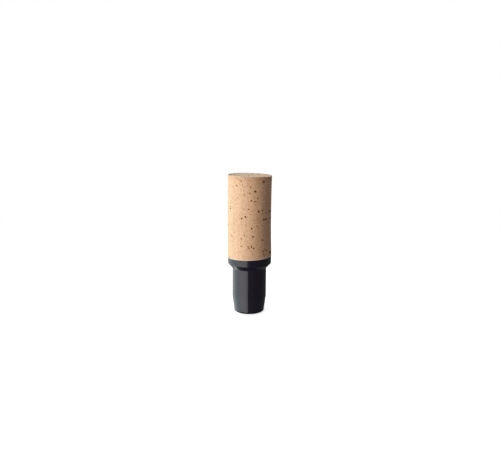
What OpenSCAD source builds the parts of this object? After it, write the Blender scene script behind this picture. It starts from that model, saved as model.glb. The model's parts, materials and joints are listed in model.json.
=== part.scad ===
// Cork bottle stopper: a natural cork head on a moulded black plug.
// The plug's spigot is glued in a blind bore in the cork. Its collar closes on the bottle's lip
// and its stem is squeezed by the bottle's neck. +Z is up, and the plug's tip stands on z = 0.

/* [Cork head] */
// Diameter of the cork at its top
head_d = 24; // [20:0.5:30]
// How much wider across the cork is at its foot than at its top
foot_flare = 0.5; // [0:0.1:1]
// Height of the cork on its axis, from the joint to the top face
head_h = 45; // [30:1:60]
// Slope of the sawn top face, down towards +X, in degrees
top_slope = 1; // [0:0.1:3]
// Slope of the joint between cork and collar, up towards +X, in degrees
joint_slope = 1.8; // [0:0.1:3]

/* [Cork pores] */
// Width of a middling pore at the cork's face
pore_d = 0.7; // [0.3:0.05:1.2]
// Depth of a middling pore
pore_depth = 0.9; // [0.4:0.1:2]
// Number of pores on the faces that the listed pores leave bare
pore_count = 26; // [0:1:40]

/* [Collar] */
// How far the collar band sits inside the cork's face at its foot
collar_inset = 0.15; // [0:0.05:1]
// Height of the collar band on its axis
collar_h = 3.7; // [2.5:0.1:8]
// Bevel around the collar's top edge, under the cork
collar_bevel = 0.3; // [0.1:0.05:0.6]
// Rounding between the collar band and the shoulder
collar_edge_r = 0.9; // [0.3:0.1:2]

/* [Plug] */
// Bore of the bottle's mouth
mouth_d = 18.5; // [17.5:0.1:19.5]
// How much wider the stem is than the mouth, all of it squeeze
squeeze = 0.3; // [0.1:0.05:1]
// Angle of the shoulder that meets the bottle's lip, from the axis, in degrees
shoulder_angle = 45; // [35:1:60]
// Length of the straight stem below the shoulder
stem_h = 16; // [8:1:30]
// Length of the lead-in below the straight stem
lead_h = 9; // [5:1:16]
// Diameter of the lead-in at the plug's tip
tip_d = 16.4; // [12:0.1:17]
// Rounding of the tip's edge
tip_r = 1.2; // [0.4:0.1:3]

/* [Spigot] */
// Diameter of the spigot that the cork is glued on
spigot_d = 10; // [6:0.5:14]
// Length of the spigot above the joint
spigot_h = 12; // [6:0.5:20]
// Bevel around the spigot's end
spigot_bevel = 0.8; // [0.2:0.1:1.5]
// Glue gap around the spigot
glue_gap = 0.05; // [0.02:0.01:0.3]
// Room left for glue past the spigot's end
glue_room = 0.6; // [0.2:0.1:2]

/* [Hidden] */

$fn = 96;
arc_steps = 8;

collar_d = head_d + foot_flare - 2 * collar_inset;
stem_d = mouth_d + squeeze;
shoulder_h = (collar_d - stem_d) / 2 / tan(shoulder_angle);

// Levels on the axis
stem_z = lead_h;
shoulder_z = stem_z + stem_h;
collar_z = shoulder_z + shoulder_h;
joint_z = collar_z + collar_h;
top_z = joint_z + head_h;
beyond = head_d;

// Pores of the front: [degrees from -Y towards +X, share of the head's height, size as a share
// of a middling pore's]
pores = [
    [-59, 0.61, 0.7], [-54, 0.29, 0.6], [-50, 0.28, 0.5], [-36, 0.89, 0.8],
    [-22, 0.95, 0.8], [-21, 0.51, 1.0], [-13, 0.31, 0.7], [-11, 0.53, 1.2],
    [-3, 0.62, 0.8], [-3, 0.17, 0.9], [-1, 0.15, 0.7], [2, 0.88, 0.7],
    [4, 0.72, 0.9], [5, 0.39, 0.9], [5, 0.17, 1.1], [9, 0.29, 1.1],
    [11, 0.15, 1.0], [14, 0.83, 1.3], [14, 0.71, 0.9], [21, 0.75, 0.9],
    [23, 0.59, 1.4], [35, 0.60, 1.1], [35, 0.24, 1.1], [37, 0.10, 0.9],
    [38, 0.94, 1.5], [39, 0.06, 0.8], [40, 0.49, 1.2], [46, 0.11, 0.9],
    [49, 0.49, 1.2], [68, 0.06, 1.6], [69, 0.57, 1.4], [70, 0.49, 1.3],
    [74, 0.95, 1.2]
];
pore_end = 0.2;
pore_seed = 7;
pore_angles = rands(95, 275, pore_count, pore_seed);
pore_shares = rands(0.04, 0.96, pore_count, pore_seed + 1);
pore_sizes = rands(0.6, 1.3, pore_count, pore_seed + 2);

// Radius of the cork's face at a height
function cork_r(z) = (head_d + foot_flare * (top_z - z) / head_h) / 2;

// Points along a round edge between two angles, in the outline's plane
function arc(x, y, r, from, to) = [
    for (i = [0 : arc_steps])
        let (a = from + (to - from) * i / arc_steps)
        [x + r * cos(a), y + r * sin(a)]
];

// Everything below a plane that crosses the axis at z and tilts about Y
module below(z, tilt) {
    translate([0, 0, z])
        rotate([0, tilt, 0])
        translate([-beyond, -beyond, -2 * top_z])
        cube([2 * beyond, 2 * beyond, 2 * top_z]);
}

// A pore runs along Y, as the bark's own channels do, and narrows inwards from the cork's face
module pore(angle, share, size) {
    z = joint_z + share * head_h;
    across = cork_r(z) * sin(angle);
    face = -cork_r(z) * cos(angle);
    inward = face > 0 ? -1 : 1;
    depth = pore_depth * size;
    mouth = pore_d * size;
    end = mouth * pore_end;
    translate([across, face, z])
        rotate([-90 * inward, 0, 0])
        translate([0, 0, -depth])
        cylinder(h = 2 * depth, d1 = 2 * mouth - end, d2 = end);
}

module cork_head() {
    end_z = top_z + head_d;
    color("burlywood")
    difference() {
        intersection() {
            cylinder(h = end_z, r1 = cork_r(0), r2 = cork_r(end_z));
            below(top_z, top_slope);
        }
        below(joint_z, -joint_slope);
        cylinder(h = joint_z + spigot_h + glue_room, d = spigot_d + 2 * glue_gap);
        for (p = pores) pore(p[0], p[1], p[2]);
        for (i = [0 : 1 : pore_count - 1]) pore(pore_angles[i], pore_shares[i], pore_sizes[i]);
    }
}

// A cone that widens downwards from the joint, so that it bevels the collar's top edge
module collar_top() {
    top_r = collar_d / 2 - collar_bevel;
    translate([0, 0, joint_z])
        rotate([0, -joint_slope, 0])
        translate([0, 0, -top_z])
        cylinder(h = top_z, r1 = top_r + top_z, r2 = top_r);
}

// Rooted inside the collar, and bevelled where it enters the cork
module spigot() {
    end_z = joint_z + spigot_h;
    translate([0, 0, shoulder_z])
        cylinder(h = end_z - spigot_bevel - shoulder_z, d = spigot_d);
    translate([0, 0, end_z - spigot_bevel])
        cylinder(h = spigot_bevel, d1 = spigot_d, d2 = spigot_d - 2 * spigot_bevel);
}

module plug() {
    // The tip's rounding touches the floor face and the lead-in's cone
    lead_angle = atan((stem_d - tip_d) / 2 / lead_h);
    tip_x = tip_d / 2 - tip_r * tan(45 - lead_angle / 2);
    // The edge's rounding touches the shoulder's cone and the collar band
    edge_y = collar_z + collar_edge_r * tan(shoulder_angle / 2);
    edge_x = collar_d / 2 - collar_edge_r;
    outline = concat(
        [[0, 0]],
        arc(tip_x, tip_r, tip_r, -90, -lead_angle),
        [[stem_d / 2, stem_z], [stem_d / 2, shoulder_z]],
        arc(edge_x, edge_y, collar_edge_r, -shoulder_angle, 0),
        [[collar_d / 2, joint_z + beyond], [0, joint_z + beyond]]
    );
    color([0.09, 0.09, 0.1])
    union() {
        intersection() {
            rotate_extrude() polygon(outline);
            below(joint_z, -joint_slope);
            collar_top();
        }
        spigot();
    }
}

cork_head();
plug();
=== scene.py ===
import json
import math
import random

import bmesh
import bpy
from mathutils import Matrix, Vector, noise


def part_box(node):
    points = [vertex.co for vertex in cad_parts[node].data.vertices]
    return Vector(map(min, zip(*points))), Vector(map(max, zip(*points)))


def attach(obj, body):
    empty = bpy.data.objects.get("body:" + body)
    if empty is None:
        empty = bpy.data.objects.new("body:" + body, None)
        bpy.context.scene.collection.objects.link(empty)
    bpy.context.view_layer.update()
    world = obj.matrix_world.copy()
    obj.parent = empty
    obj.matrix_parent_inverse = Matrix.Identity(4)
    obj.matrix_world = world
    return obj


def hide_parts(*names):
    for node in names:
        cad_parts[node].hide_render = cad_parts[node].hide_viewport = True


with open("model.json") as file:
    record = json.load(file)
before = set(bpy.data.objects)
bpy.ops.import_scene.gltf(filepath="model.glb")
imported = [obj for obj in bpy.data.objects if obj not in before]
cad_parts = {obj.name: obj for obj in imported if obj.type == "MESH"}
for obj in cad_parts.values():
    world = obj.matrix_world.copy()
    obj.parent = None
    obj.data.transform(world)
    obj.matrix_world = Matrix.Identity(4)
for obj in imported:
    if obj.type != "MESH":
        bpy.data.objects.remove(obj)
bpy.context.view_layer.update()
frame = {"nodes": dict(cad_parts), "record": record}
mounts = {mount["name"]: mount for mount in frame["record"]["mounts"]}
mm = 0.001
weld = 0.002 * mm            # points nearer to each other than this become one
tiny = 0.01 * mm             # a point nearer than this to a surface counts as on it
print("frame loaded:", sorted(frame["nodes"]))


class Value:
    # A socket of a node tree, so that shader maths reads as an expression
    def __init__(self, graph, socket):
        self.graph = graph
        self.socket = socket

    def math(self, operation, *others):
        return self.graph.node("ShaderNodeMath", {"operation": operation}, [self, *others])

    def __add__(self, other):
        return self.math("ADD", other)

    def __radd__(self, other):
        return self.math("ADD", other)

    def __sub__(self, other):
        return self.math("SUBTRACT", other)

    def __rsub__(self, other):
        return self.graph.node("ShaderNodeMath", {"operation": "SUBTRACT"}, [other, self])

    def __mul__(self, other):
        return self.math("MULTIPLY", other)

    def __rmul__(self, other):
        return self.math("MULTIPLY", other)

    def fraction(self):
        return self.math("FRACT")

    def larger(self, other):
        return self.math("MAXIMUM", other)

    def step(self, low, high, start=0.0, end=1.0):
        # Turns smoothly from start to end while this value goes from low to high
        return self.graph.node(
            "ShaderNodeMapRange", {"interpolation_type": "SMOOTHSTEP"},
            {"Value": self, "From Min": low, "From Max": high, "To Min": start, "To Max": end},
        )


class Graph:
    # The nodes of one material or of the world
    def __init__(self, owner):
        owner.use_nodes = True
        self.tree = owner.node_tree
        self.tree.nodes.clear()

    def node(self, kind, settings=None, sockets=None, output=0):
        made = self.tree.nodes.new(kind)
        for name, setting in (settings or {}).items():
            setattr(made, name, setting)
        pairs = sockets.items() if isinstance(sockets, dict) else enumerate(sockets or [])
        for name, value in pairs:
            if isinstance(value, Value):
                self.tree.links.new(value.socket, made.inputs[name])
            else:
                made.inputs[name].default_value = value
        return Value(self, made.outputs[output]) if len(made.outputs) else made

    def noise(self, place, size, detail, roughness=0.5):
        # size is the width of a typical blotch, in metres
        return self.node(
            "ShaderNodeTexNoise", {},
            {"Vector": place, "Scale": 1 / size, "Detail": detail, "Roughness": roughness},
        )

    def mix(self, factor, low, high):
        return self.node("ShaderNodeMix", {"data_type": "RGBA"}, {0: factor, 6: low, 7: high}, 2)

    def stretch(self, place, scale):
        return self.node("ShaderNodeVectorMath", {"operation": "MULTIPLY"}, [place, scale])

    def length(self, place):
        return self.node("ShaderNodeVectorMath", {"operation": "LENGTH"}, [place], "Value")


def colour(red, green, blue):
    return (red, green, blue, 1.0)


def finishPiece(bm, name, material, node):
    mesh = bpy.data.meshes.new(name)
    bm.to_mesh(mesh)
    bm.free()
    for polygon in mesh.polygons:
        polygon.use_smooth = True
    mesh.materials.append(material)
    piece = bpy.data.objects.new(name, mesh)
    bpy.context.scene.collection.objects.link(piece)
    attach(piece, "root")
    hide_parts(node)
    print(name, "has", sum(len(p.vertices) - 2 for p in mesh.polygons), "triangles")


def turnOutline(bm, points, spacings, steps):
    # Turns an outline of (radius, height) round the Z axis, each side divided to its own spacing
    last = bm.verts.new((points[0][0], 0, points[0][1]))
    for low, high, spacing in zip(points, points[1:], spacings):
        parts = max(1, round(math.dist(low, high) / spacing))
        for part in range(1, parts + 1):
            radius, height = Vector(low).lerp(Vector(high), part / parts)
            here = bm.verts.new((radius, 0, height))
            bm.edges.new((last, here))
            last = here
    bmesh.ops.spin(
        bm, geom=bm.verts[:] + bm.edges[:], axis=(0, 0, 1), cent=(0, 0, 0),
        angle=2 * math.pi, steps=steps, use_merge=True,
    )
    bmesh.ops.remove_doubles(bm, verts=bm.verts[:], dist=weld)
    bmesh.ops.recalc_face_normals(bm, faces=bm.faces[:])


def roundRing(bm, radius, height, offset, segments):
    # Rounds the ring of edges at that radius and height
    ring = []
    for edge in bm.edges:
        offRadius = max(abs(vert.co.xy.length - radius) for vert in edge.verts)
        offHeight = max(abs(vert.co.z - height) for vert in edge.verts)
        if offRadius < 2 * tiny and offHeight < tiny:
            ring.append(edge)
    bmesh.ops.bevel(
        bm, geom=ring, offset=offset, affect="EDGES", segments=segments, profile=0.5, material=-1,
    )


palest = colour(0.86, 0.565, 0.35)
ringBrown = colour(0.48, 0.25, 0.13)
cork = {
    "jointSlope": 1.8,       # degrees, up towards +X
    "topRadius": 12 * mm,
    "boreRadius": 5.05 * mm,
    "boreDepth": 12.6 * mm,
    "around": 240,           # faces round the cork, and below the spacing of their rows
    "wallRow": 0.31 * mm,
    "topRow": 0.4 * mm,
    "footRow": 0.8 * mm,
    "boreRow": 2 * mm,
    "edgeSoftness": 0.12 * mm,
    "waver": 0.05 * mm,      # how far the ground wall wanders, and over what length
    "waverSize": 11 * mm,
    "waist": 0.33 * mm,      # how far the +X side falls in between its ends
    "grit": 0.035 * mm,
    "gritSize": 0.55 * mm,
    # Pores
    "poreWidth": 0.78 * mm,  # of a pore of size 1
    "poreDepth": 0.75 * mm,
    "pitEdge": 0.4,          # where the pit starts on the way from a pore's brown rim to its middle
    "rimReach": 2.4,         # how far out a rim and a pit may go, in half widths of their pore
    "pitReach": 1.3,
    "raggedness": 0.45,
    "raggedTurns": 1.3,      # the more, the shorter the bumps of a ragged rim
    "streakLimit": 0.3,      # the less, the longer the streaks on the sides
    "fineMargin": 0.2 * mm,  # how far the finer mesh goes past a pit
    "fineCuts": 2,           # cuts across each edge of the mesh there
    "seed": 11,
    # The unlisted pores: degrees, share of the height, size and height over width, from and to
    "sidePores": 46,
    "sideRanges": [(92, 272), (0.03, 0.97), (0.5, 1.3), (0.7, 1.4)],
    "finePores": 130,
    "fineRanges": [(-90, 270), (0.02, 0.98), (0.22, 0.42), (0.8, 1.3)],
    # The open channels of the sawn top, from and to in millimetres
    "topPores": 16,
    "topSpread": 0.88,       # share of the radius
    "topHalfWidth": (0.12, 0.24),
    "topHalfLength": (0.4, 1.5),
    "topDepth": (0.15, 0.35),
    # Looks, first the width of a typical blotch of each pattern
    "blotchSize": 3.2 * mm,
    "mottleSize": 0.85 * mm,
    "fleckSize": 0.62 * mm,
    "grainSize": 0.42 * mm,
    "backLeftNoiseSize": 2.5 * mm,
    "ringSpacing": 2.6 * mm,
    "ringBendSize": 9 * mm,
    "ringBend": 2.2,         # in rings
    "frontYearBend": 1.5 * mm,
    "frontYearAt": (-8.6 * mm, -9.7 * mm),  # along Y
    "sawnTopAt": (-0.16 * mm, -0.06 * mm),  # over the top, as is the next
    "underTopAt": (-3.6 * mm, -1.2 * mm),
    # Where the painted highlight along the foot edge lies
    "footHighlightAt": (0.95 * mm, 0.5 * mm),  # over the joint
    "backLeftTowards": (-0.88, 0.47),
    "backLeftAt": (5 * mm, 9 * mm),  # how far that way the darkening starts and is whole
    "backLeftOutsideOf": (9.4 * mm, 11.2 * mm),  # and how far from the axis
    "backLeftWander": 2.4 * mm,
    "rosyTurn": 40 * mm,     # the shorter, the sooner the cork turns from straw to rosy towards +X
    "rosy": colour(0.70, 0.37, 0.215),
    "straw": colour(0.69, 0.445, 0.252),
    # What lies over those two, in this order: how strongly, and in which colour
    "layers": {
        "frontYear": (0.3, colour(0.92, 0.52, 0.31)),
        "paleMottle": (0.65, palest),
        "brownMottle": (0.55, ringBrown),
        "ringLine": (0.25, ringBrown),
        "paleGrain": (0.85, palest),
        "brownGrain": (0.75, ringBrown),
        "fleck": (0.7, colour(0.38, 0.165, 0.06)),
        # The top is paler and greyer, partly its own sawn tone and partly a painted sheen of the white
        # backdrop
        "sawnTop": (0.45, colour(0.80, 0.66, 0.48)),
        "backLeftDarkening": (1.0, colour(0.24, 0.165, 0.10)),
        "underTop": (0.28, ringBrown),
        # A painted highlight: the foot edge is paler along the joint
        "footHighlight": (0.7, colour(0.72, 0.60, 0.46)),
        "poreRim": (0.9, colour(0.31, 0.085, 0.006)),
        "pit": (1.0, colour(0.11, 0.02, 0.001)),
    },
    "bump": 0.6,
    "bumpHeight": 0.1 * mm,
}
headLow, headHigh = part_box("cork_head")
headRadius = cork["topRadius"]
footRadius = (headHigh.x - headLow.x) / 2
topNormal = Vector(mounts["top_face"]["axis"])
topZ = mounts["top_face"]["pos_m"][2]
topRise = -topNormal.x / topNormal.z
jointRise = math.tan(math.radians(cork["jointSlope"]))
jointZ = headLow.z + footRadius * jointRise
headHeight = topZ - jointZ

# Pores of the front: degrees from -Y towards +X, share of the height, size, height over width
frontPores = [
    (-59, 0.61, 0.65, 1.0), (-54, 0.29, 0.6, 0.8), (-50, 0.28, 0.45, 1.0), (-36, 0.89, 0.65, 1.2),
    (-22, 0.95, 0.68, 1.0), (-21, 0.51, 1.0, 0.8), (-13, 0.31, 0.6, 1.2), (-11, 0.53, 1.0, 1.1),
    (-3, 0.62, 0.7, 1.2), (-3, 0.17, 0.75, 1.2), (-1, 0.15, 0.8, 0.7), (2, 0.88, 0.6, 1.2),
    (4, 0.72, 0.75, 1.3), (5, 0.39, 0.75, 1.1), (5, 0.17, 1.05, 0.9), (9, 0.29, 1.1, 0.8),
    (11, 0.15, 0.95, 0.9), (14, 0.83, 1.15, 1.0), (14, 0.71, 0.8, 1.1), (21, 0.75, 0.9, 0.8),
    (23, 0.59, 1.15, 1.2), (35, 0.60, 1.0, 0.9), (35, 0.24, 1.0, 0.9), (37, 0.10, 0.7, 1.4),
    (38, 0.94, 1.7, 0.6), (39, 0.06, 0.8, 0.8), (40, 0.49, 1.15, 0.85), (46, 0.11, 0.75, 1.1),
    (49, 0.49, 1.15, 0.9), (68, 0.06, 1.2, 1.5), (69, 0.57, 1.0, 1.6), (70, 0.49, 1.0, 1.3),
    (74, 0.95, 1.0, 1.2),
]
# Fainter ones, in the same way
faintPores = [
    (-19, 0.91, 0.45, 1.0), (-6, 0.90, 0.45, 1.0), (0, 0.80, 0.4, 1.0), (37, 0.565, 0.5, 1.2),
    (19, 0.415, 0.5, 1.0), (-22, 0.265, 0.5, 1.0), (-21, 0.175, 0.5, 1.3), (8, 0.08, 0.45, 1.2),
    (-62, 0.02, 0.6, 1.0), (-76, 0.40, 0.6, 1.0), (44, 0.055, 0.5, 1.0), (35, 0.08, 0.45, 1.1),
]
# Brown smudges without a pit: degrees, share of the height, half the width and half the height in
# millimetres, strength
smudges = [
    (-41, 0.685, 0.6, 0.2, 0.32), (-41, 0.660, 0.6, 0.2, 0.32), (-14, 0.79, 0.7, 0.9, 0.27),
    (0, 0.81, 1.2, 0.5, 0.28), (19, 0.415, 0.6, 0.35, 0.38), (-15, 0.62, 0.9, 0.5, 0.26),
    (-9, 0.43, 0.45, 1.0, 0.27), (-22, 0.27, 0.5, 0.5, 0.3), (-22, 0.18, 0.35, 0.7, 0.3),
    (21, 0.50, 1.0, 2.0, 0.22), (-44, 0.44, 0.7, 0.25, 0.24), (118, 0.33, 1.4, 0.5, 0.25),
    (162, 0.72, 0.8, 0.5, 0.3), (205, 0.40, 0.9, 1.2, 0.26), (248, 0.62, 1.5, 0.4, 0.28),
    (-75, 0.80, 1.2, 0.4, 0.26), (80, 0.30, 1.3, 0.4, 0.26), (42, 0.085, 2.2, 1.5, 0.13),
]


def scatter(draw, count, ranges):
    return [tuple(draw.uniform(*span) for span in ranges) for _ in range(count)]


def makePore(draw, middle, half, depth, strength=1.0):
    return {
        "middle": middle, "half": half, "depth": depth, "strength": strength,
        "seed": draw.uniform(0, 100),
    }


def makeWallPores():
    # The middle of each is given by the way round the wall from -Y towards +X, and the height
    draw = random.Random(cork["seed"])
    listed = frontPores + faintPores
    listed += scatter(draw, cork["sidePores"], cork["sideRanges"])
    listed += scatter(draw, cork["finePores"], cork["fineRanges"])
    found = []
    for degrees, share, size, tallness in listed:
        angle = math.radians(degrees)
        # The channels run along Y, so they open out into streaks towards the sides
        facing = max(abs(math.cos(angle)), cork["streakLimit"])
        halfWidth = cork["poreWidth"] * size / 2
        middle = (headRadius * angle, jointZ + share * headHeight)
        half = (halfWidth / facing, halfWidth * tallness)
        found.append(makePore(draw, middle, half, cork["poreDepth"] * size * facing))
    for degrees, share, halfWidth, halfHeight, strength in smudges:
        middle = (headRadius * math.radians(degrees), jointZ + share * headHeight)
        found.append(makePore(draw, middle, (halfWidth * mm, halfHeight * mm), 0.0, strength))
    return found


def makeTopPores():
    # On the sawn top the channels lie open along Y
    draw = random.Random(cork["seed"] + 1)
    found = []
    for _ in range(cork["topPores"]):
        angle = draw.uniform(0, 2 * math.pi)
        distance = headRadius * cork["topSpread"] * math.sqrt(draw.random())
        middle = (distance * math.cos(angle), distance * math.sin(angle))
        halfWidth = draw.uniform(*cork["topHalfWidth"]) * mm
        halfLength = draw.uniform(*cork["topHalfLength"]) * mm
        depth = draw.uniform(*cork["topDepth"]) * mm
        found.append(makePore(draw, middle, (halfWidth, halfLength), depth))
    return found


def poresByHeight(found):
    # Which pores reach each millimetre of the height
    shelves = {}
    for pore in found:
        reach = cork["rimReach"] * pore["half"][1] + 2 * cork["fineMargin"]
        low = math.floor((pore["middle"][1] - reach) / mm)
        high = math.floor((pore["middle"][1] + reach) / mm)
        for shelf in range(low, high + 1):
            shelves.setdefault(shelf, []).append(pore)
    return shelves


def onWall(place):
    # The wall and its soft edges
    return place.xy.length > headRadius - 1.5 * cork["edgeSoftness"]


def onTop(place):
    return not onWall(place) and place.z > topZ - tiny


def poresNear(place, shelves, topPores):
    # The pores that may reach a place, each with how far the place lies from its middle
    near = []
    if onWall(place):
        around = headRadius * math.atan2(place.x, -place.y)
        for pore in shelves.get(math.floor(place.z / mm), []):
            across = math.remainder(around - pore["middle"][0], 2 * math.pi * headRadius)
            near.append((pore, across, place.z - pore["middle"][1]))
    elif onTop(place):
        for pore in topPores:
            near.append((pore, place.x - pore["middle"][0], place.y - pore["middle"][1]))
    return near


def nearPit(pore, across, up):
    # A smudge, which has no pit, keeps the coarse mesh
    halfWidth = cork["pitReach"] * pore["half"][0] + cork["fineMargin"]
    halfHeight = cork["pitReach"] * pore["half"][1] + cork["fineMargin"]
    return abs(across) < halfWidth and abs(up) < halfHeight and pore["depth"] > 0


def nearness(pore, across, up):
    # 1 at a pore's middle, down to 0 at the outside of its ragged brown rim
    across /= pore["half"][0]
    up /= pore["half"][1]
    distance = math.hypot(across, up)
    if distance > cork["rimReach"]:
        return 0.0
    turn = math.atan2(up, across)
    spot = (cork["raggedTurns"] * math.cos(turn), cork["raggedTurns"] * math.sin(turn), pore["seed"])
    edge = 1 + cork["raggedness"] * noise.noise(spot)
    return max(0.0, 1 - (1 - cork["pitEdge"]) * distance / edge) * pore["strength"]


def pitDepth(pore, near):
    # Steep sides and a rounded bottom
    inside = max(0.0, (near - cork["pitEdge"]) / (1 - cork["pitEdge"]))
    return pore["depth"] * (1 - (1 - inside) ** 3)


def refineAtPores(bm, shelves, topPores):
    edges = set()
    for face in bm.faces:
        nearby = poresNear(face.calc_center_median(), shelves, topPores)
        if any(nearPit(*found) for found in nearby):
            edges.update(face.edges)
    bmesh.ops.subdivide_edges(bm, edges=list(edges), cuts=cork["fineCuts"], use_grid_fill=True)
    soft = cork["edgeSoftness"]
    lowest, highest = jointZ + 2.5 * soft, topZ - 2.5 * soft
    for vert in bm.verts:
        # New points lie on chords of the wall, and are pushed out to its curve
        distance = vert.co.xy.length
        if distance > headRadius - 0.5 * soft and lowest < vert.co.z < highest:
            vert.co.xy *= headRadius / distance


def wander(place, size):
    # Between 0 and 1, and different again about that far away
    return 0.5 + 0.5 * noise.noise(place / size)


def openPores(bm, shelves, topPores):
    # Sinks the pits, wears the surface, and keeps how near each point is to a pore for the material
    dark = bm.verts.layers.float.new("pore")
    for vert in bm.verts:
        deepest, darkest = 0.0, 0.0
        for pore, across, up in poresNear(vert.co, shelves, topPores):
            near = nearness(pore, across, up)
            deepest = max(deepest, pitDepth(pore, near))
            darkest = max(darkest, near)
        vert[dark] = darkest
        if onWall(vert.co):
            share = min(max((vert.co.z - jointZ) / headHeight, 0), 1)
            worn = cork["waist"] * max(vert.co.x / headRadius, 0) ** 2 * math.sin(math.pi * share)
            worn += cork["waver"] * wander(vert.co, cork["waverSize"])
            worn += cork["grit"] * wander(vert.co, cork["gritSize"])
            vert.co.xy *= 1 - (deepest + worn) / vert.co.xy.length
        elif onTop(vert.co):
            vert.co.z -= deepest + cork["grit"] * wander(vert.co, cork["gritSize"])


def flareAndSlope(bm):
    # The wall widens towards the foot, and both ends slope
    for vert in bm.verts:
        share = (vert.co.z - jointZ) / headHeight
        if vert.co.xy.length > cork["boreRadius"] + tiny:
            vert.co.xy *= 1 + (footRadius / headRadius - 1) * (1 - share)
        vert.co.z += vert.co.x * (jointRise * (1 - share) + topRise * share)


def makeCork(material):
    bm = bmesh.new()
    boreTop = jointZ + cork["boreDepth"]
    outline = [
        (0, boreTop), (cork["boreRadius"], boreTop), (cork["boreRadius"], jointZ),
        (headRadius, jointZ), (headRadius, topZ), (0, topZ),
    ]
    spacings = [cork["boreRow"]] * 2 + [cork["footRow"], cork["wallRow"], cork["topRow"]]
    turnOutline(bm, outline, spacings, cork["around"])
    roundRing(bm, headRadius, topZ, cork["edgeSoftness"], 3)
    roundRing(bm, headRadius, jointZ, cork["edgeSoftness"], 2)
    shelves = poresByHeight(makeWallPores())
    topPores = makeTopPores()
    refineAtPores(bm, shelves, topPores)
    openPores(bm, shelves, topPores)
    flareAndSlope(bm)
    finishPiece(bm, "corkHead", material, "cork_head")


def corkMaterial():
    material = bpy.data.materials.new("naturalCork")
    g = Graph(material)
    place = g.node("ShaderNodeTexCoord", output="Object")
    x, y, z = [g.node("ShaderNodeSeparateXYZ", {}, [place], axis) for axis in "XYZ"]
    alongY = g.stretch(place, (1.0, 0.3, 1.0))
    blotch = g.noise(g.stretch(place, (1.0, 0.5, 0.45)), cork["blotchSize"], 4.0, 0.6)
    mottle = g.noise(alongY, cork["mottleSize"], 4.0, 0.7)
    grain = g.noise(place, cork["grainSize"], 3.0, 0.65)
    backLeftNoise = g.noise(place, cork["backLeftNoiseSize"], 4.0, 0.6)
    fleck = g.noise(alongY, cork["fleckSize"], 2.0, 0.6).step(0.62, 0.72)
    # Growth rings lie in planes across Y, and the channels run along Y
    bend = g.noise(place, cork["ringBendSize"], 2.0)
    ring = (y * (1 / cork["ringSpacing"]) + bend * cork["ringBend"]).fraction()
    # Heights that follow the slopes of the top and of the joint
    overTop = z - x * topRise - topZ
    overJoint = z - x * jointRise - jointZ
    sawnTop = overTop.step(*cork["sawnTopAt"])
    # The sawn top is darker near its rim, behind on the left
    towardsX, towardsY = cork["backLeftTowards"]
    backLeftSide = (x * towardsX + y * towardsY).step(*cork["backLeftAt"])
    outward = g.length(g.stretch(place, (1, 1, 0))) + backLeftNoise * cork["backLeftWander"]
    pore = g.node("ShaderNodeAttribute", {"attribute_name": "pore"}, output="Fac")
    poreRim = pore.step(0.03, 0.42)
    masks = {
        # The year's growth that lies at the front is a little lighter
        "frontYear": (y + bend * cork["frontYearBend"]).step(*cork["frontYearAt"]),
        "paleMottle": mottle.step(0.42, 0.66),
        "brownMottle": mottle.step(0.48, 0.30),
        "ringLine": ring.step(0.70, 0.97) * ring.step(0.97, 1.0, 1.0, 0.0),
        "paleGrain": grain.step(0.52, 0.66),
        "brownGrain": grain.step(0.48, 0.34),
        "fleck": fleck,
        # Paler, greyer top: partly its own tone, partly a painted sheen
        "sawnTop": sawnTop,
        "backLeftDarkening": sawnTop * backLeftSide * outward.step(*cork["backLeftOutsideOf"])
        * mottle.step(0.35, 0.6, 1.0, 0.6),
        # The wall is a little browner just under the sawn top, and a paler line along its foot edge is
        # a painted highlight
        "underTop": overTop.step(*cork["underTopAt"]) - sawnTop,
        "footHighlight": overJoint.step(*cork["footHighlightAt"]),
        "poreRim": poreRim,
        "pit": pore.step(0.38, 0.70),
    }
    straw = (blotch - x * (1 / cork["rosyTurn"])).step(0.25, 0.65)
    base = g.mix(straw, cork["rosy"], cork["straw"])
    for name, (strength, tint) in cork["layers"].items():
        base = g.mix(masks[name] * strength, base, tint)
    bump = g.node("ShaderNodeBump", {}, {
        "Strength": cork["bump"], "Distance": cork["bumpHeight"],
        "Height": grain * 0.4 + mottle * 0.6 - fleck * 0.4,
    })
    shader = g.node("ShaderNodeBsdfPrincipled", {}, {
        "Base Color": base, "Normal": bump,
        "Roughness": grain.step(0.2, 0.8, 0.45, 0.6) + poreRim * 0.4,
    })
    g.node("ShaderNodeOutputMaterial", {}, [shader])
    return material


makeCork(corkMaterial())
print("cork head made")

plug = {
    "collarRadius": 12.1 * mm,
    "collarHeight": 3.7 * mm,
    "leadHeight": 9 * mm,
    "tipRadius": 8.2 * mm,
    "spigotRadius": 5 * mm,
    "spigotHeight": 12 * mm,
    # How far each edge is cut back, which gives roundings of about 1.2 mm at the tip and 0.9 mm
    # under the collar
    "tipEdge": 1.02 * mm,
    "leadEdge": 0.4 * mm,
    "stemEdge": 0.3 * mm,
    "underCollarEdge": 0.378 * mm,
    "overCollarEdge": 0.3 * mm,
    "spigotEdge": 0.8 * mm,
    "slopeWithin": 1 * mm,   # how far under the joint the collar follows its slope
    "around": 180,           # faces round the plug, and below the spacing of their rows
    "sideRow": 0.6 * mm,
    "tipRow": 1.5 * mm,
    "spigotRow": 2 * mm,
    # Looks
    "dark": colour(0.0075, 0.0058, 0.0125),
    "light": colour(0.0135, 0.0105, 0.021),
    "smearSize": 3 * mm,
    "rippleSize": 2.2 * mm,
    "fineSize": 0.15 * mm,
    "gloss": (0.08, 0.18),   # roughness where it is clean and where it is smeared
    "specular": 0.58,
    "bump": 0.25,
    "bumpHeight": 0.01 * mm,
}


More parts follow.
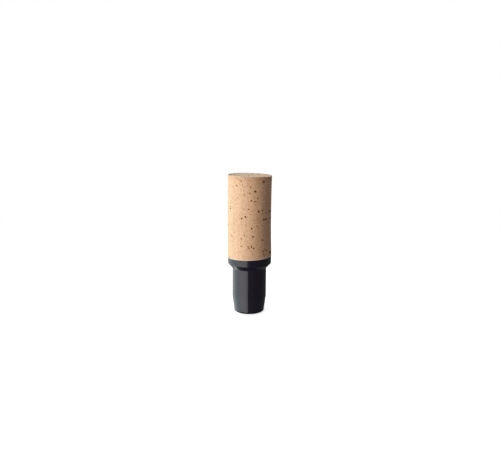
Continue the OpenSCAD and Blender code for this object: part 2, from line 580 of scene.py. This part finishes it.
def makePlug(material):
    stem = mounts["stem"]["dims"]
    stemRadius = stem["r_mm"] * mm
    stemTop = plug["leadHeight"] + stem["length_mm"] * mm
    collarZ = jointZ - plug["collarHeight"]
    spigotTop = jointZ + plug["spigotHeight"]
    bm = bmesh.new()
    outline = [
        (0, 0), (plug["tipRadius"], 0), (stemRadius, plug["leadHeight"]), (stemRadius, stemTop),
        (plug["collarRadius"], collarZ), (plug["collarRadius"], jointZ),
        (plug["spigotRadius"], jointZ), (plug["spigotRadius"], spigotTop), (0, spigotTop),
    ]
    spacings = [plug["tipRow"]] + [plug["sideRow"]] * 5 + [plug["spigotRow"]] * 2
    turnOutline(bm, outline, spacings, plug["around"])
    roundRing(bm, plug["tipRadius"], 0, plug["tipEdge"], 8)
    roundRing(bm, stemRadius, plug["leadHeight"], plug["leadEdge"], 4)
    roundRing(bm, stemRadius, stemTop, plug["stemEdge"], 4)
    roundRing(bm, plug["collarRadius"], collarZ, plug["underCollarEdge"], 6)
    roundRing(bm, plug["collarRadius"], jointZ, plug["overCollarEdge"], 4)
    roundRing(bm, plug["spigotRadius"], spigotTop, plug["spigotEdge"], 2)
    for vert in bm.verts:
        outsideSpigot = vert.co.xy.length > plug["spigotRadius"] + tiny
        if outsideSpigot and vert.co.z > jointZ - plug["slopeWithin"]:
            vert.co.z += vert.co.x * jointRise
    finishPiece(bm, "mouldedPlug", material, "plug")


def plugMaterial():
    material = bpy.data.materials.new("glossyBlackMoulding")
    g = Graph(material)
    place = g.node("ShaderNodeTexCoord", output="Object")
    smear = g.noise(g.stretch(place, (1.0, 1.0, 0.4)), plug["smearSize"], 4.0, 0.6)
    ripple = g.noise(place, plug["rippleSize"], 2.0)
    fine = g.noise(place, plug["fineSize"], 2.0)
    bump = g.node("ShaderNodeBump", {}, {
        "Strength": plug["bump"], "Distance": plug["bumpHeight"],
        "Height": ripple * 0.8 + fine * 0.2,
    })
    shader = g.node("ShaderNodeBsdfPrincipled", {}, {
        "Base Color": g.mix(smear, plug["dark"], plug["light"]), "Normal": bump,
        "Roughness": smear.step(0.3, 0.8, *plug["gloss"]), "Specular IOR Level": plug["specular"],
    })
    g.node("ShaderNodeOutputMaterial", {}, [shader])
    return material


makePlug(plugMaterial())
print("plug made")

stage = {
    "floorRadius": 3.0,
    "paper": 0.8,
    "paperGlow": 0.62,
    "whiteAt": (0.10, 0.40),  # the floor turns to plain white between these distances
    "darkStudio": 0.118,     # brightness in front and at the sides, and of the backdrop behind
    "backdrop": 0.87,
    "backdropEdge": (0.93, 0.985),
    "backdropTurn": 6,       # degrees, from +Y round to the left
    "darkTint": colour(1.0, 0.99, 1.0),
    "panelDistance": 0.6,
    # Each softbox: the degrees from -Y round to the left and the degrees of height that it spans,
    # its brightness and its tint
    "panels": {
        "softboxFrontEdge": (10, 22, -55, 55, 1.42, (1.02, 1.0, 0.99)),
        "softboxFront": (22, 70, -55, 55, 1.84, (1.01, 1.0, 0.99)),
        "softboxSide": (70, 127, -55, 55, 1.64, (0.87, 0.99, 1.02)),
        "softboxBehindLeft": (127, 158, -50, 50, 1.22, (0.97, 1.0, 1.0)),
        "softboxHighBehind": (-158, -122, 22, 58, 3.15, (1.0, 1.0, 1.0)),
    },
}


def makeFloor():
    bm = bmesh.new()
    bmesh.ops.create_circle(bm, cap_ends=True, segments=96, radius=stage["floorRadius"])
    mesh = bpy.data.meshes.new("floor")
    bm.to_mesh(mesh)
    bm.free()
    floor = bpy.data.objects.new("floor", mesh)
    bpy.context.scene.collection.objects.link(floor)
    material = bpy.data.materials.new("paleFloor")
    g = Graph(material)
    far = g.length(g.node("ShaderNodeTexCoord", output="Object")).step(*stage["whiteAt"])
    paper = g.node("ShaderNodeBsdfDiffuse", {}, {"Color": colour(*[stage["paper"]] * 3)})
    glow = g.node("ShaderNodeEmission", {}, {"Strength": stage["paperGlow"]})
    white = g.node("ShaderNodeEmission", {}, {"Strength": 1.0})
    near = g.node("ShaderNodeAddShader", {}, [paper, glow])
    g.node("ShaderNodeOutputMaterial", {}, [g.node("ShaderNodeMixShader", {}, [far, near, white])])
    mesh.materials.append(material)
    # The softboxes reach below the floor, and light the stopper through it
    floor.visible_glossy = False
    floor.visible_diffuse = False
    floor.visible_shadow = False


def makeWorld():
    world = bpy.data.worlds.new("studio")
    bpy.context.scene.world = world
    g = Graph(world)
    direction = g.node("ShaderNodeTexCoord", output="Generated")
    turn = math.radians(stage["backdropTurn"])
    behind = (-math.sin(turn), math.cos(turn), 0)
    towards = g.node("ShaderNodeVectorMath", {"operation": "DOT_PRODUCT"}, [direction, behind], "Value")
    lit = towards.step(*stage["backdropEdge"])
    studio = lit * (stage["backdrop"] - stage["darkStudio"]) + stage["darkStudio"]
    camera = g.node("ShaderNodeLightPath", output="Is Camera Ray")
    glossy = g.node("ShaderNodeLightPath", output="Is Glossy Ray")
    through = g.node("ShaderNodeLightPath", output="Is Transmission Ray")
    # Gloss and glass see the white backdrop too, where it stands behind the stopper
    white = camera.larger(glossy.larger(through) * lit)
    light = g.node("ShaderNodeBackground", {}, {
        "Color": g.mix(lit.larger(camera), stage["darkTint"], colour(1, 1, 1)),
        "Strength": studio * (1 - white) + white,
    })
    g.node("ShaderNodeOutputWorld", {}, [light])


def makeSoftboxes():
    distance = stage["panelDistance"]
    for name, (near, far, low, high, brightness, tint) in stage["panels"].items():
        panel = bpy.data.lights.new(name, "AREA")
        panel.shape = "RECTANGLE"
        panel.size = 2 * distance * math.tan(math.radians(far - near) / 2)
        panel.size_y = 2 * distance * math.tan(math.radians(high - low) / 2)
        panel.energy = brightness * math.pi * panel.size * panel.size_y
        panel.color = tint
        lamp = bpy.data.objects.new(name, panel)
        turn = Matrix.Rotation(-math.radians(near + far) / 2, 4, "Z")
        raised = Matrix.Rotation(-math.radians(low + high) / 2, 4, "X")
        upright = Matrix.Translation((0, -distance, 0)) @ Matrix.Rotation(math.pi / 2, 4, "X")
        lamp.matrix_world = Matrix.Translation((0, 0, topZ / 2)) @ turn @ raised @ upright
        lamp.visible_camera = False
        bpy.context.scene.collection.objects.link(lamp)


view = {
    "lens": 42.57,           # millimetres, as is the sensor's width
    "sensor": 36,
    "side": 0.2 * mm,        # how far it stands to +X, to the front and above the top
    "back": 320.5 * mm,
    "aboveTop": 30.1 * mm,
    "pitch": 10.21,          # degrees that it looks down, and that it leans to one side
    "roll": 0.39,
    "nearest": 0.01,
    "farthest": 10,
}


def makeCamera():
    data = bpy.data.cameras.new("camera")
    data.lens = view["lens"]
    data.sensor_width = view["sensor"]
    data.clip_start = view["nearest"]
    data.clip_end = view["farthest"]
    camera = bpy.data.objects.new("camera", data)
    place = Matrix.Translation((view["side"], -view["back"], topZ + view["aboveTop"]))
    tilt = Matrix.Rotation(math.radians(90 - view["pitch"]), 4, "X")
    camera.matrix_world = place @ tilt @ Matrix.Rotation(math.radians(view["roll"]), 4, "Z")
    bpy.context.scene.collection.objects.link(camera)
    bpy.context.scene.camera = camera


makeFloor()
makeWorld()
makeSoftboxes()
makeCamera()
bpy.context.scene.view_settings.view_transform = "Standard"
print("stage made")
